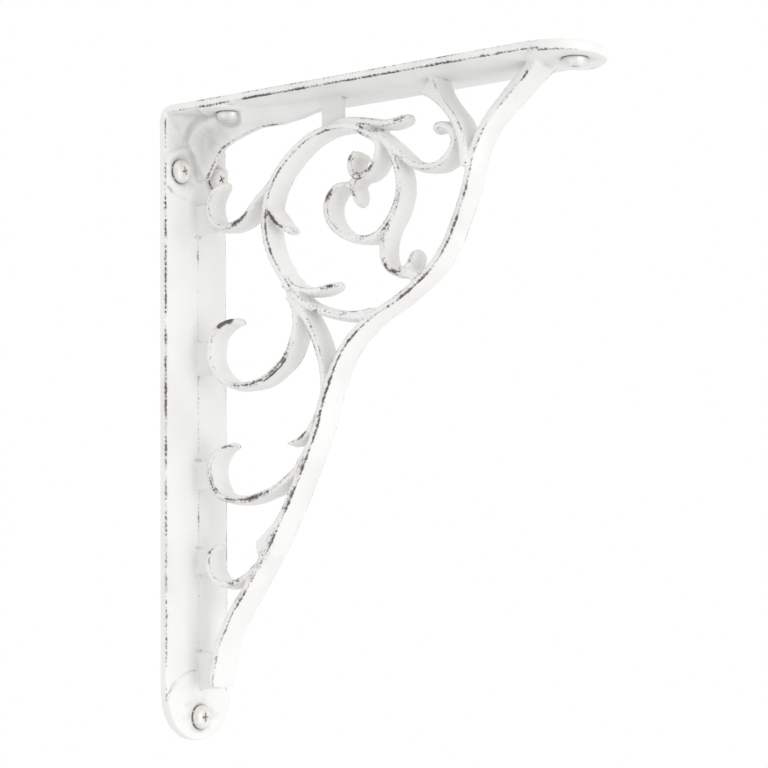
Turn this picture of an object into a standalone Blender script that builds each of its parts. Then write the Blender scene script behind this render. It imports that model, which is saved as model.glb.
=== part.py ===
"""Scroll shelf bracket: one iron casting and the six cross-head screws that fix it.

Frame: x = 0 is the back of the wall plate, y = 0 the middle plane of the scrollwork,
z = 0 half way up the wall plate. The arm runs out along +x at the top, under the shelf.
"""
import math

import bmesh
import bpy
from mathutils import Matrix, Vector

MM = 0.001

# Overall sizes, millimetres
LEG = 250.0
ARM = 190.5
WIDTH = 38.0
TOP = LEG / 2
BOTTOM = -LEG / 2
HALF = WIDTH / 2

# Plate thickness at the long edges, along the low ridge in the middle, and at the flat pads and lugs
EDGE = 2.9
CREST = 3.6
PAD = 4.0
CORNER_RADIUS = 5.0
LUG_LENGTH = 18.0

# Ovals that bound the pads round the paired screws, and the arcs that bound the lugs
PAD_RADII = (22.0, 10.3)
ARC_RADIUS = 22.0
ARC_FROM_TIP = 4.7

# Screws: where they sit, their countersinks and their own sizes; the heads are low domes with full shoulders
LUG_SCREW_FROM_TIP = 9.0
ARM_SCREW_FROM_TIP = 10.5
WALL_PAIR = (11.4, TOP - 25.5)
ARM_PAIR = (7.0, 25.3)
HOLE_RADIUS = 2.6
SINK_RADIUS = 5.1
SHANK_RADIUS = 2.2
SHANK_END = 0.4
HEAD_RADIUS = 4.6
HEAD_RISE = 2.5
HEAD_FULLNESS = 0.6
CROSS_SPAN = 3.6
CROSS_WIDTH = 1.0
CROSS_DEPTH = 1.2

# Scroll bars: how much thicker they are at the parting line than at their faces, and the step along them
DRAFT = 1.6
STEP = 4.0
END_TAPER = 0.2

# Every scroll bar as (widths along y at even stations, face thickness, end scales, points x, z in millimetres)
BARS = {
    "brace": ((14.5, 11.4, 10.8, 11.8, 12.8, 12.8, 13.2, 13.6, 13.8), 2.4, (1.4, 1.1), [
        (167, 121.5), (159.9, 115.5), (152.9, 109.5), (147.2, 104.5), (142.6, 99), (139, 92.5), (137, 86),
        (134.9, 78.5), (132.3, 72), (129.1, 65), (125.1, 57.5), (119.3, 50.6), (111.9, 45), (102.8, 39.5),
        (93.9, 35.4), (86.8, 30.9), (80.4, 25.3), (75.8, 18.8), (72.1, 11), (68.8, 3), (66.4, -5), (62.5, -14),
        (58.1, -23), (52.7, -33.5), (47.7, -42), (43.2, -50), (37.7, -58), (31.7, -66.5), (26.3, -73.5),
        (21.9, -80.5), (18.1, -88), (16.1, -95.5), (14.2, -104)]),
    "ring": ((12.0,), 2.4, (1.0, 1.4), [
        (96, 101.8), (87.5, 106.9), (77, 109.2), (65.5, 107.4), (55.4, 101.8), (47.1, 93.8), (42.7, 84.5),
        (41.6, 74.5), (43.9, 64), (49.7, 54), (56, 45.5), (65, 40), (76.5, 36.5), (86, 35.5), (93, 36)]),
    "top_leaf": ((10.5,), 2.4, (0.8, 1.0), [
        (71, 110), (81, 110.9), (90, 109.5), (98.5, 107.5), (103.5, 107.8), (106.8, 108.6), (109.3, 109.6)]),
    "inner_curl": ((11.0,), 2.2, (1.2, 1.2), [
        (88, 106), (93.5, 103), (95.8, 99.7), (95.7, 96.2), (93.7, 92.2), (90.7, 89.5), (87, 88.5), (84, 90),
        (83, 93), (83.5, 96), (85.5, 97.5)]),
    "stem": ((11.5,), 2.2, (1.0, 0.9), [
        (93, 104.5), (100, 99.5), (103, 94), (105.2, 87.5), (105.5, 81), (104, 75.5), (100.6, 70.2),
        (96.2, 66), (91.3, 64.3), (85.8, 64.8), (80, 66.4), (75.2, 70), (72.4, 74), (71.6, 79), (73.2, 82.8),
        (76.2, 85.5), (80.8, 86), (83.8, 84), (84.7, 80.5), (85.5, 77)]),
    "right_scroll": ((11.0,), 2.4, (1.0, 1.1), [
        (95.5, 104), (101, 99.3), (105.5, 95.2), (110, 91.3), (114.5, 89.2), (119.8, 88.3), (124, 89.1),
        (127.6, 91.5), (129.8, 94.4), (130.4, 97.6), (128.8, 101), (125.2, 103.3), (122, 102.9),
        (120.9, 100.8)]),
    "arm_leaf": ((13.5,), 3.0, (2.8, 1.0), [
        (119.2, 119.4), (122.3, 115.6), (126.4, 111), (130.3, 106.2), (132.6, 102), (134.2, 97.5),
        (135, 92.5), (135.4, 86.5)]),
    "hook": ((10.5,), 2.2, (1.0, 1.4), [
        (103.5, 73.5), (100, 68), (97.8, 62.5), (97.5, 57.3), (98.9, 53.3), (102.6, 50.4), (106.8, 50.4),
        (109.8, 53.4), (111.2, 58.6)]),
    "hook_root": ((10.0,), 3.4, (1.0, 1.3), [(104.6, 50.8), (109.2, 49.2), (113.6, 46.5)]),
    "top_left": ((11.0,), 2.2, (1.2, 1.0), [
        (45, 91), (40, 87.2), (35, 82.7), (30, 78.3), (24, 76.4), (18.5, 76.5), (15, 79), (13, 83),
        (13, 87.5), (15, 91), (18.3, 93), (20.9, 94)]),
    "ring_spur": ((11.5,), 2.4, (1.2, 0.6), [
        (41.5, 82), (45, 78.4), (47.8, 74.7), (51.4, 72.3), (54.9, 71.1)]),
    "second": ((10.6,), 2.4, (1.2, 0.8), [
        (52, 50.5), (55, 42.5), (56, 36.5), (55.4, 31.5), (53.3, 26), (50.2, 21.4), (45.6, 17.7), (39.6, 14.2),
        (33, 12.7), (26, 12.9), (20.4, 15), (15.7, 19), (13.2, 24), (13.2, 29), (14.4, 33.5), (18, 36.6),
        (23, 38.4), (28.3, 37.9)]),
    "leaf": ((11.0,), 2.4, (2.3, 0.8), [
        (51, 51.6), (54.5, 49.3), (59, 47.7), (64, 46.6), (69, 47), (73, 48), (76, 49)]),
    "branch": ((11.6,), 2.4, (1.4, 0.5), [
        (53, 46), (58, 40.5), (61.6, 35.5), (64.6, 30), (67, 24), (68.8, 18), (69.5, 12), (69.5, 6), (67.7, 1),
        (66.3, -1.5), (63.2, -6), (58.2, -9.8), (52.4, -11.4)]),
    "third": ((11.0,), 2.4, (1.1, 0.7), [
        (62.6, -12.5), (58.6, -17.9), (55.2, -22.2), (50.4, -25.5), (45, -28.4), (38.6, -30.4), (32.8, -31.9),
        (26.3, -31.9), (21.2, -31), (16.8, -28.8), (14.3, -24.5), (13.3, -19.5), (14.8, -15), (18.2, -11.7),
        (22, -10.6), (25.2, -10.9)]),
    "fourth": ((11.0,), 2.4, (1.4, 0.7), [
        (42.3, -52), (38.9, -56), (34.4, -59.5), (29.9, -62.5), (24.7, -64.3), (19.8, -64.3), (15.3, -62.5),
        (12.6, -58.5), (12.1, -54), (13.8, -50.6), (17.4, -49)]),
    "curl_bridge": ((9.5,), 2.6, (1.0, 1.0), [(87, 89.5), (81.5, 85)]),
}

# Bars that end free, with the share of their width left at the leaf-like tip, and the length of that tip
FREE_TIPS = {
    "top_leaf": 0.6, "stem": 0.5, "right_scroll": 0.8, "hook": 0.7, "top_left": 0.3, "ring_spur": 0.25,
    "second": 0.25, "leaf": 0.5, "third": 0.25, "fourth": 0.3,
}
TIP_LENGTH = 11.0

# Thin stands that tie the scrolls to the plates, as (x from, x to, z from, z to), and their draft
STANDS = {
    "stand_top": (2.6, 13.4, 75.5, 87.0),
    "stand_second": (2.6, 14.8, 18.8, 31.6),
    "stand_third": (2.6, 14.3, -26.6, -16.0),
    "stand_fourth": (2.6, 13.4, -60.0, -50.6),
    "foot": (1.7, 15.5, -104.6, -91.0),
    "stand_ring": (67.2, 76.4, 109.2, 122.4),
}
STAND_DRAFT = 0.4

# The leaf point on the lower brace, and the thin web in the corner: x, z
SPUR = [(53.6, -32.5), (44.6, -42.6), (37.0, -48.8), (37.9, -52.8), (39.9, -57.2), (47.0, -45.2)]
SPUR_WIDTH = 13.0
WEB = [(1.7, 97.6), (9.4, 97.1), (12.3, 101.9), (14.9, 106.0), (17.7, 108.9), (22.8, 111.1), (29.9, 113.2),
       (36.7, 114.9), (48.2, 114.8), (58.5, 116), (66.5, 118), (70, 119), (70, 123.3), (1.7, 123.3)]
WEB_WIDTH = 3.6

# How the web thickens towards the corner: half its thickness, and the share of its outline that is so thick
WEB_FLARE = [(7.5, 0.45), (5.0, 0.62), (3.4, 0.8), (2.4, 0.92), (WEB_WIDTH / 2, 1.0)]

# The hollow fillet in the corner: its leg, as (y, leg), how deep its root lies in the plates, its overlap
FILLET = [(-18.5, 0.5), (-15.4, 2.2), (-12.1, 5.6), (-9.3, 9.4), (-6, 11.8), (0, 12.4),
          (6, 11.8), (9.3, 9.4), (12.1, 5.6), (15.4, 2.2), (18.5, 0.5)]
FILLET_ROOT = 1.2
FILLET_OVERLAP = 0.15
FILLET_STEPS = 6


def material(name, colour, metallic, roughness):
    mat = bpy.data.materials.new(name)
    mat.use_nodes = True
    shader = mat.node_tree.nodes["Principled BSDF"]
    shader.inputs["Base Color"].default_value = (*colour, 1.0)
    shader.inputs["Metallic"].default_value = metallic
    shader.inputs["Roughness"].default_value = roughness
    mat.diffuse_color = (*colour, 1.0)
    return mat


def new_object(name, bm):
    """Turns the closed bmesh outwards and links it as an object."""
    bmesh.ops.recalc_face_normals(bm, faces=bm.faces)
    mesh = bpy.data.meshes.new(name)
    bm.to_mesh(mesh)
    bm.free()
    obj = bpy.data.objects.new(name, mesh)
    bpy.context.scene.collection.objects.link(obj)
    return obj


def loft(name, rings):
    """Closed solid through equal rings of points in millimetres, capped at both ends."""
    bm = bmesh.new()
    loops = [[bm.verts.new(Vector(p) * MM) for p in ring] for ring in rings]
    for near, far in zip(loops, loops[1:]):
        for i in range(len(near)):
            k = (i + 1) % len(near)
            bm.faces.new((near[i], near[k], far[k], far[i]))
    bm.faces.new(loops[0])
    bm.faces.new(loops[-1])
    return new_object(name, bm)


def extruded(name, outline, way, frame=Matrix.Identity(4)):
    """Flat outline of points in millimetres carried straight along a vector, then placed by a frame."""
    bm = bmesh.new()
    face = bm.faces.new([bm.verts.new(Vector(p) * MM) for p in outline])
    carried = bmesh.ops.extrude_face_region(bm, geom=[face])
    moved = [v for v in carried["geom"] if isinstance(v, bmesh.types.BMVert)]
    bmesh.ops.translate(bm, vec=Vector(way) * MM, verts=moved)
    bmesh.ops.transform(bm, matrix=frame, verts=bm.verts)
    return new_object(name, bm)


def turned(name, profile, sides, frame):
    """Profile of (radius, height) in millimetres spun round a frame's z axis and capped at both ends."""
    bm = bmesh.new()
    chain = [bm.verts.new((radius * MM, 0, height * MM)) for radius, height in profile]
    edges = [bm.edges.new(pair) for pair in zip(chain, chain[1:])]
    bmesh.ops.spin(bm, geom=chain + edges, cent=(0, 0, 0), axis=(0, 0, 1), angle=2 * math.pi, steps=sides,
                   use_merge=True)
    open_edges = [e for e in bm.edges if e.is_boundary]
    bmesh.ops.holes_fill(bm, edges=open_edges, sides=sides)
    bmesh.ops.transform(bm, matrix=frame, verts=bm.verts)
    return new_object(name, bm)


def combine(target, tool, operation):
    """Joins the tool to the target or cuts it out, and removes the tool."""
    tool.hide_render = True
    tool.display_type = "WIRE"
    mod = target.modifiers.new(tool.name, "BOOLEAN")
    mod.operation = operation
    mod.solver = "EXACT"
    mod.object = tool
    depsgraph = bpy.context.evaluated_depsgraph_get()
    mesh = bpy.data.meshes.new_from_object(target.evaluated_get(depsgraph))
    target.modifiers.clear()
    target.data = mesh
    bpy.data.objects.remove(tool)


def on_wall(across, along):
    """Frame on the back of the wall plate: x across it, y up it, z out of the wall."""
    return Matrix(((0, 0, 1, 0), (1, 0, 0, across * MM), (0, 1, 0, along * MM), (0, 0, 0, 1)))


def on_arm(across, along):
    """Frame on top of the arm: x across it, y out along it, z downwards."""
    return Matrix(((0, 1, 0, along * MM), (1, 0, 0, across * MM), (0, 0, -1, TOP * MM), (0, 0, 0, 1)))


def oval_post(radii, sides, frame):
    """Oval post straight through a plate, turned a little so that no corner lies on the middle plane."""
    bm = bmesh.new()
    size = Matrix.Diagonal((radii[0], radii[1], 1, 1))
    turn = Matrix.Rotation(0.74 * math.pi / sides, 4, "Z")
    bmesh.ops.create_cone(bm, cap_ends=True, segments=sides, radius1=MM, radius2=MM, depth=24 * MM,
                          matrix=frame @ size @ turn)
    return new_object("oval_post", bm)


def strip():
    """Wall plate and arm as one bent strip at pad thickness, with rounded lugs and outer corner."""
    lug = []
    for i in range(9):
        angle = math.radians(4 + 86 * i / 8)
        lug.append((LUG_LENGTH * (1 - math.cos(angle)), HALF * math.sin(angle)))
    rings = []
    for along, h in lug:
        z = BOTTOM + along
        rings.append([(0, -h, z), (PAD, -h, z), (PAD, h, z), (0, h, z)])
    spare = (CORNER_RADIUS - PAD) / 2
    for i in range(5):
        angle = math.radians(90 * i / 4)
        x = CORNER_RADIUS * (1 - math.cos(angle))
        z = TOP - CORNER_RADIUS * (1 - math.sin(angle))
        inner_x = PAD + spare * max(0, i - 2)
        inner_z = TOP - PAD - spare * max(0, 2 - i)
        rings.append([(x, -HALF, z), (inner_x, -HALF, inner_z), (inner_x, HALF, inner_z), (x, HALF, z)])
    for along, h in reversed(lug):
        x = ARM - along
        rings.append([(x, -h, TOP), (x, -h, TOP - PAD), (x, h, TOP - PAD), (x, h, TOP)])
    return loft("strip", rings)


def field(ends, pad, arc, plate):
    """What is cast away between a plate's pad and its lug: all that lies over its two sloping facets."""
    beyond = 2.0
    over = PAD + 4.0
    low = EDGE - (CREST - EDGE) * beyond / HALF
    out = HALF + beyond
    section = [(-out, low), (0, CREST), (out, low), (out, over), (-out, over)]
    outline = [(across, ends[0], height) for across, height in section]
    cutter = extruded("field", outline, (0, ends[1] - ends[0], 0), plate(0, 0))
    combine(cutter, oval_post(PAD_RADII, 40, plate(0, pad)), "DIFFERENCE")
    combine(cutter, oval_post((ARC_RADIUS, ARC_RADIUS), 48, plate(0, arc)), "DIFFERENCE")
    return cutter


def corner_fillet():
    """Hollow-sided fillet in the inner corner, deepest at the middle."""
    rings = []
    root = FILLET_ROOT
    for y, leg in FILLET:
        surface = CREST - (CREST - EDGE) * abs(y) / HALF
        cx = surface + leg
        cz = TOP - surface - leg
        ring = [(root, y, TOP - root), (root, y, cz)]
        for i in range(FILLET_STEPS + 1):
            a = math.radians(90 * i / FILLET_STEPS)
            ring.append((cx - leg * math.cos(a) - FILLET_OVERLAP, y, cz + leg * math.sin(a) + FILLET_OVERLAP))
        ring.append((cx, y, TOP - root))
        rings.append(ring)
    return loft("corner_fillet", rings)


def slab(name, outline, width):
    """Outline in x, z carried to both sides of the middle plane."""
    return extruded(name, [(x, -width / 2, z) for x, z in outline], (0, width, 0))


def gusset():
    """Web in the corner, which flares out towards the corner's root."""
    flare = [(-y, share) for y, share in WEB_FLARE] + [(y, share) for y, share in reversed(WEB_FLARE)]
    root = Vector(WEB[-1])
    rings = []
    for y, share in flare:
        ring = [root.lerp(Vector(p), share) for p in WEB]
        rings.append([(p.x, y, p.y) for p in ring])
    return loft("gusset", rings)


def stand(name, x0, x1, z0, z1):
    """Thin drafted block: a little larger at the middle plane than at its two faces."""
    rings = []
    for y, more in ((-WEB_WIDTH / 2, 0.0), (0.0, STAND_DRAFT), (WEB_WIDTH / 2, 0.0)):
        rings.append([(x0 - more, y, z0 - more), (x1 + more, y, z0 - more),
                      (x1 + more, y, z1 + more), (x0 - more, y, z1 + more)])
    return loft(name, rings)


def smooth_path(points):
    """Rounded curve through the points (Catmull-Rom), stepped evenly."""
    pts = [Vector(p) for p in points]
    pts = [pts[0] * 2 - pts[1]] + pts + [pts[-1] * 2 - pts[-2]]
    fine = []
    for a, b, c, d in zip(pts, pts[1:], pts[2:], pts[3:]):
        for i in range(12):
            t = i / 12
            fine.append(0.5 * (2 * b + (c - a) * t + (2 * a - 5 * b + 4 * c - d) * t * t
                               + (3 * b - a - 3 * c + d) * t ** 3))
    fine.append(pts[-2])
    length = sum((q - p).length for p, q in zip(fine, fine[1:]))
    count = max(2, round(length / STEP))
    path = [fine[0]]
    walked = 0.0
    for p, q in zip(fine, fine[1:]):
        gap = (q - p).length
        while len(path) < count and walked + gap >= len(path) * length / count:
            t = (len(path) * length / count - walked) / gap
            path.append(p.lerp(q, t))
        walked += gap
    path.append(fine[-1])
    return path


def bar(name, widths, face, ends, points):
    """Scroll bar: six-sided drafted section swept along a curve in the x, z plane."""
    path = smooth_path(points)
    last = len(path) - 1
    length = sum((q - p).length for p, q in zip(path, path[1:]))
    rings = []
    for i, p in enumerate(path):
        ahead = path[min(i + 1, last)] - path[max(i - 1, 0)]
        side = Vector((-ahead.y, ahead.x)).normalized()
        at_start = max(0, 1 - i / last / END_TAPER)
        at_end = max(0, 1 - (1 - i / last) / END_TAPER)
        scale = 1 + (ends[0] - 1) * at_start + (ends[1] - 1) * at_end
        station = i / last * (len(widths) - 1)
        low = int(station)
        half = (widths[low] + (widths[min(low + 1, len(widths) - 1)] - widths[low]) * (station - low)) / 2
        at_tip = max(0, 1 - (1 - i / last) * length / TIP_LENGTH)
        half *= 1 - (1 - FREE_TIPS.get(name, 1)) * at_tip ** 2
        f = side * face * scale / 2
        m = side * (face + DRAFT) * scale / 2
        rings.append([
            (p.x - f.x, -half, p.y - f.y),
            (p.x + f.x, -half, p.y + f.y),
            (p.x + m.x, 0, p.y + m.y),
            (p.x + f.x, half, p.y + f.y),
            (p.x - f.x, half, p.y - f.y),
            (p.x - m.x, 0, p.y - m.y),
        ])
    return loft(name, rings)


def screw(name, frame, mat):
    """Round cross-head screw sitting in its countersink with a small gap all round."""
    throat = PAD - (SINK_RADIUS - HOLE_RADIUS)
    bevel = 0.4
    profile = [
        (SHANK_RADIUS - bevel, SHANK_END),
        (SHANK_RADIUS, SHANK_END + bevel),
        (SHANK_RADIUS, throat + 0.1),
        (HEAD_RADIUS, PAD),
    ]
    for degrees in (20, 40, 60, 78):
        angle = math.radians(degrees)
        profile.append((HEAD_RADIUS * math.cos(angle) ** HEAD_FULLNESS, PAD + HEAD_RISE * math.sin(angle)))
    obj = turned(name, profile, 20, frame)
    floor = PAD + HEAD_RISE - CROSS_DEPTH
    for u, v in ((CROSS_SPAN / 2, CROSS_WIDTH / 2), (CROSS_WIDTH / 2, CROSS_SPAN / 2)):
        outline = [(-u, -v, floor), (u, -v, floor), (u, v, floor), (-u, v, floor)]
        combine(obj, extruded("cross", outline, (0, 0, 2 * CROSS_DEPTH), frame), "DIFFERENCE")
    obj.data.materials.clear()
    obj.data.materials.append(mat)
    return obj


def casting(mat, screw_frames):
    """Plates, corner web, brace and scrolls, all in one pour, with the screw holes cut through them."""
    body = strip()
    inset = EDGE + 0.05
    wall_ends = (BOTTOM + ARC_FROM_TIP, TOP - inset)
    arm_ends = (inset, ARM - ARC_FROM_TIP)
    combine(body, field(wall_ends, WALL_PAIR[1], BOTTOM + ARC_FROM_TIP, on_wall), "DIFFERENCE")
    combine(body, field(arm_ends, ARM_PAIR[1], ARM - ARC_FROM_TIP, on_arm), "DIFFERENCE")
    combine(body, corner_fillet(), "UNION")
    combine(body, gusset(), "UNION")
    for name, sizes in BARS.items():
        combine(body, bar(name, *sizes), "UNION")
    for name, sizes in STANDS.items():
        combine(body, stand(name, *sizes), "UNION")
    combine(body, slab("spur", SPUR, SPUR_WIDTH), "UNION")
    throat = PAD - (SINK_RADIUS - HOLE_RADIUS)
    sink = [(HOLE_RADIUS, -1), (HOLE_RADIUS, throat), (SINK_RADIUS, PAD), (SINK_RADIUS, PAD + 6)]
    for frame in screw_frames.values():
        combine(body, turned("hole", sink, 24, frame), "DIFFERENCE")
    body.name = "bracket_casting"
    body.data.name = "bracket_casting"
    body.data.materials.clear()
    body.data.materials.append(mat)
    return body


for old in list(bpy.data.objects):
    bpy.data.objects.remove(old)
paint = material("painted_iron", (0.86, 0.85, 0.81), 0.0, 0.45)
zinc = material("zinc_steel", (0.72, 0.72, 0.70), 0.8, 0.35)
frames = {
    "screw_wall_bottom": on_wall(0, BOTTOM + LUG_SCREW_FROM_TIP),
    "screw_wall_top_near": on_wall(-WALL_PAIR[0], WALL_PAIR[1]),
    "screw_wall_top_far": on_wall(*WALL_PAIR),
    "screw_arm_corner_near": on_arm(-ARM_PAIR[0], ARM_PAIR[1]),
    "screw_arm_corner_far": on_arm(*ARM_PAIR),
    "screw_arm_end": on_arm(0, ARM - ARM_SCREW_FROM_TIP),
}
casting(paint, frames)
for screw_name, screw_frame in frames.items():
    screw(screw_name, screw_frame, zinc)
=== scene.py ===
"""Looks of a scroll shelf bracket: one painted iron casting and the six screws that fix it.

Frame: x = 0 is the back of the wall plate, y = 0 the middle plane of the scrollwork,
z = 0 half way up the wall plate. The arm runs out along +x at the top, under the shelf.
"""
import math

import bmesh
import bpy
from mathutils import Matrix, Vector
from mathutils.kdtree import KDTree


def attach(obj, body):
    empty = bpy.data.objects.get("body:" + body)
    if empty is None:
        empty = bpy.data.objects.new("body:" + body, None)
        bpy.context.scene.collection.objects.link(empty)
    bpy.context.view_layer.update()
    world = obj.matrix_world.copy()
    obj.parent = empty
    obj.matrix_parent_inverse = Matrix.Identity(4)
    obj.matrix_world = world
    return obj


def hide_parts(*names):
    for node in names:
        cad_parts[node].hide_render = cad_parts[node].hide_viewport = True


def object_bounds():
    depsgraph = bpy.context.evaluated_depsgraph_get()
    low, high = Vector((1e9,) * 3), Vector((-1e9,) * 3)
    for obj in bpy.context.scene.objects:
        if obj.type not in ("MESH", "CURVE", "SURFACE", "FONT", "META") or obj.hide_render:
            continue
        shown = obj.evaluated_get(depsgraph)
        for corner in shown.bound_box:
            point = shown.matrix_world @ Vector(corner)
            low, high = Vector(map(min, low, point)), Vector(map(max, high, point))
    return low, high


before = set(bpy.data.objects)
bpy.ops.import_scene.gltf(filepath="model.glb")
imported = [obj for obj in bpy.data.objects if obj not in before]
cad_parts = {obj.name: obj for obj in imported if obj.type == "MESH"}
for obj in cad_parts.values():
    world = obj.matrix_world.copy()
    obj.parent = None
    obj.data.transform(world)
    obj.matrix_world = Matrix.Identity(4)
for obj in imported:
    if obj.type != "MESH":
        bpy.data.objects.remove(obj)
cad_low, cad_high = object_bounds()

# The wall plate and the arm.
# One right-angled strip of cast iron with a lug rounded off at each end. Its inner faces rise to a low ridge
# along the middle, which stops in an arc at each lug and in an oval pad round each pair of screws.
MM = 0.001
WIDTH = 38.0
HALF = WIDTH / 2
EDGE = 2.9
CREST = 3.6
PAD = 4.0
TOP = 125.0
BOTTOM = -125.0
ARM = 190.5
CORNER_RADIUS = 5.0
CORNER_STEPS = 8
INNER_STEP = 0.2
LUG_LENGTH = 18.0
LUG_STEPS = 24
LUG_START = 4.0
PAD_RADII = (22.0, 10.3)
ARC_RADIUS = 22.0
ARC_FROM_TIP = 4.7
WALL_PAIR = (11.4, TOP - 25.5)
ARM_PAIR = (7.0, 25.3)

# The cutters: round posts from well behind a plate to well above it, and how far the fields that they stand
# in go beyond the plate's long edges, over its pads and short of the other plate
POST_SIDES = 96
POST_TURN = 0.37
POST_ENDS = (-9.0, 15.0)
CUT_BEYOND = 2.0
CUT_OVER = 4.0
CUT_SHORT = 0.05


def closed_solid(name, rings):
    """Closed mesh object through equal rings of points in millimetres."""
    bm = bmesh.new()
    loops = [[bm.verts.new(Vector(p) * MM) for p in ring] for ring in rings]
    for near, far in zip(loops, loops[1:]):
        for i in range(len(near)):
            k = (i + 1) % len(near)
            bm.faces.new((near[i], near[k], far[k], far[i]))
    bm.faces.new(loops[0])
    bm.faces.new(loops[-1])
    bmesh.ops.recalc_face_normals(bm, faces=bm.faces)
    mesh = bpy.data.meshes.new(name)
    bm.to_mesh(mesh)
    bm.free()
    obj = bpy.data.objects.new(name, mesh)
    bpy.context.scene.collection.objects.link(obj)
    return obj


def on_wall(across, along, height):
    """Point at a height over the back of the wall plate."""
    return (height, across, along)


def on_arm(across, along, height):
    """Point at a depth under the top of the arm."""
    return (along, across, TOP - height)


def bent_strip():
    """The L-shaped strip at the thickness of its pads, from one lug round the corner to the other."""
    lug = []
    for i in range(LUG_STEPS + 1):
        angle = math.radians(LUG_START + (90 - LUG_START) * i / LUG_STEPS)
        lug.append((LUG_LENGTH * (1 - math.cos(angle)), HALF * math.sin(angle)))
    rings = []
    for along, h in lug:
        z = BOTTOM + along
        rings.append([(0, -h, z), (PAD, -h, z), (PAD, h, z), (0, h, z)])
    for i in range(CORNER_STEPS + 1):
        angle = math.radians(90 * i / CORNER_STEPS)
        x = CORNER_RADIUS * (1 - math.cos(angle))
        z = TOP - CORNER_RADIUS * (1 - math.sin(angle))
        past_middle = i - CORNER_STEPS // 2
        inner_x = PAD + INNER_STEP * max(0, past_middle)
        inner_z = TOP - PAD - INNER_STEP * max(0, -past_middle)
        rings.append([(x, -HALF, z), (inner_x, -HALF, inner_z), (inner_x, HALF, inner_z), (x, HALF, z)])
    for along, h in reversed(lug):
        x = ARM - along
        rings.append([(x, -h, TOP), (x, -h, TOP - PAD), (x, h, TOP - PAD), (x, h, TOP)])
    return closed_solid("strip", rings)


def round_post(place, centre, steps, sides=POST_SIDES):
    """Upright post through a plate, with its radii across and along the plate at each of its heights."""
    rings = []
    for height, across_radius, along_radius in steps:
        ring = []
        for i in range(sides):
            a = 2 * math.pi * (i + POST_TURN) / sides
            across = centre[0] + across_radius * math.cos(a)
            along = centre[1] + along_radius * math.sin(a)
            ring.append(place(across, along, height))
        rings.append(ring)
    return closed_solid("post", rings)


def carve(target, tool):
    """Takes the tool's solid out of the target and deletes the tool."""
    cut = target.modifiers.new("cut", "BOOLEAN")
    cut.operation = "DIFFERENCE"
    cut.solver = "EXACT"
    cut.object = tool
    graph = bpy.context.evaluated_depsgraph_get()
    mesh = bpy.data.meshes.new_from_object(target.evaluated_get(graph))
    target.modifiers.clear()
    target.data = mesh
    bpy.data.objects.remove(tool)


def field(place, ends, pad, arc):
    """What is cast away between a plate's pad and its lug: all that lies over its two sloping facets."""
    low = EDGE - (CREST - EDGE) * CUT_BEYOND / HALF
    out = HALF + CUT_BEYOND
    over = PAD + CUT_OVER
    section = [(-out, low), (0, CREST), (out, low), (out, over), (-out, over)]
    rings = [[place(across, along, height) for across, height in section] for along in ends]
    cutter = closed_solid("field", rings)
    for centre, radii in ((pad, PAD_RADII), (arc, (ARC_RADIUS, ARC_RADIUS))):
        carve(cutter, round_post(place, (0, centre), [(height, *radii) for height in POST_ENDS]))
    return cutter


strip = bent_strip()
wall_arc = BOTTOM + ARC_FROM_TIP
arm_arc = ARM - ARC_FROM_TIP
carve(strip, field(on_wall, (wall_arc, TOP - EDGE - CUT_SHORT), WALL_PAIR[1], wall_arc))
carve(strip, field(on_arm, (EDGE + CUT_SHORT, arm_arc), ARM_PAIR[1], arm_arc))

# The screw holes.
# Three countersunk holes in each plate, one in each lug and a pair beside the corner. They are drilled
# through the strip before the parts of the casting are run together.
LUG_SCREW_FROM_TIP = 9.0
ARM_SCREW_FROM_TIP = 10.5
HOLE_RADIUS = 2.6
HOLE_SIDES = 48
SINK_RADIUS = 5.1
THROAT = PAD - (SINK_RADIUS - HOLE_RADIUS)

# The drill's radius at each height, from behind the plate to well above its pads
DRILL = [(-1, HOLE_RADIUS), (THROAT, HOLE_RADIUS), (PAD, SINK_RADIUS), (PAD + 6, SINK_RADIUS)]
HOLES = {
    "screw_wall_bottom": (on_wall, 0.0, BOTTOM + LUG_SCREW_FROM_TIP),
    "screw_wall_top_near": (on_wall, -WALL_PAIR[0], WALL_PAIR[1]),
    "screw_wall_top_far": (on_wall, *WALL_PAIR),
    "screw_arm_corner_near": (on_arm, -ARM_PAIR[0], ARM_PAIR[1]),
    "screw_arm_corner_far": (on_arm, *ARM_PAIR),
    "screw_arm_end": (on_arm, 0.0, ARM - ARM_SCREW_FROM_TIP),
}

for place, across, along in HOLES.values():
    steps = [(height, radius, radius) for height, radius in DRILL]
    carve(strip, round_post(place, (across, along), steps, HOLE_SIDES))

# The corner.
# A hollow-sided fillet fills the inside of the right angle, deepest at the middle, with a thin web standing
# on it. The web's thin free edge sweeps from the wall plate out along the arm, and its root flares.
FILLET_ROOT = 1.2
FILLET_OVERLAP = 0.15
FILLET_STEPS = 12
WEB_WIDTH = 3.6
FILLET = [(-18.5, 0.5), (-15.4, 2.2), (-12.1, 5.6), (-9.3, 9.4), (-6, 11.8), (0, 12.4),
          (6, 11.8), (9.3, 9.4), (12.1, 5.6), (15.4, 2.2), (18.5, 0.5)]
WEB = [(1.7, 97.6), (9.4, 97.1), (12.3, 101.9), (14.9, 106.0), (17.7, 108.9), (22.8, 111.1), (29.9, 113.2),
       (36.7, 114.9), (48.2, 114.8), (58.5, 116), (66.5, 118), (70, 119), (70, 123.3), (1.7, 123.3)]
WEB_EDGE = WEB[1:9]
WEB_FLARE = [(7.5, 0.45), (5.0, 0.62), (3.4, 0.8), (2.4, 0.92), (WEB_WIDTH / 2, 0.965), (0.7, 1.0)]


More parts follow.
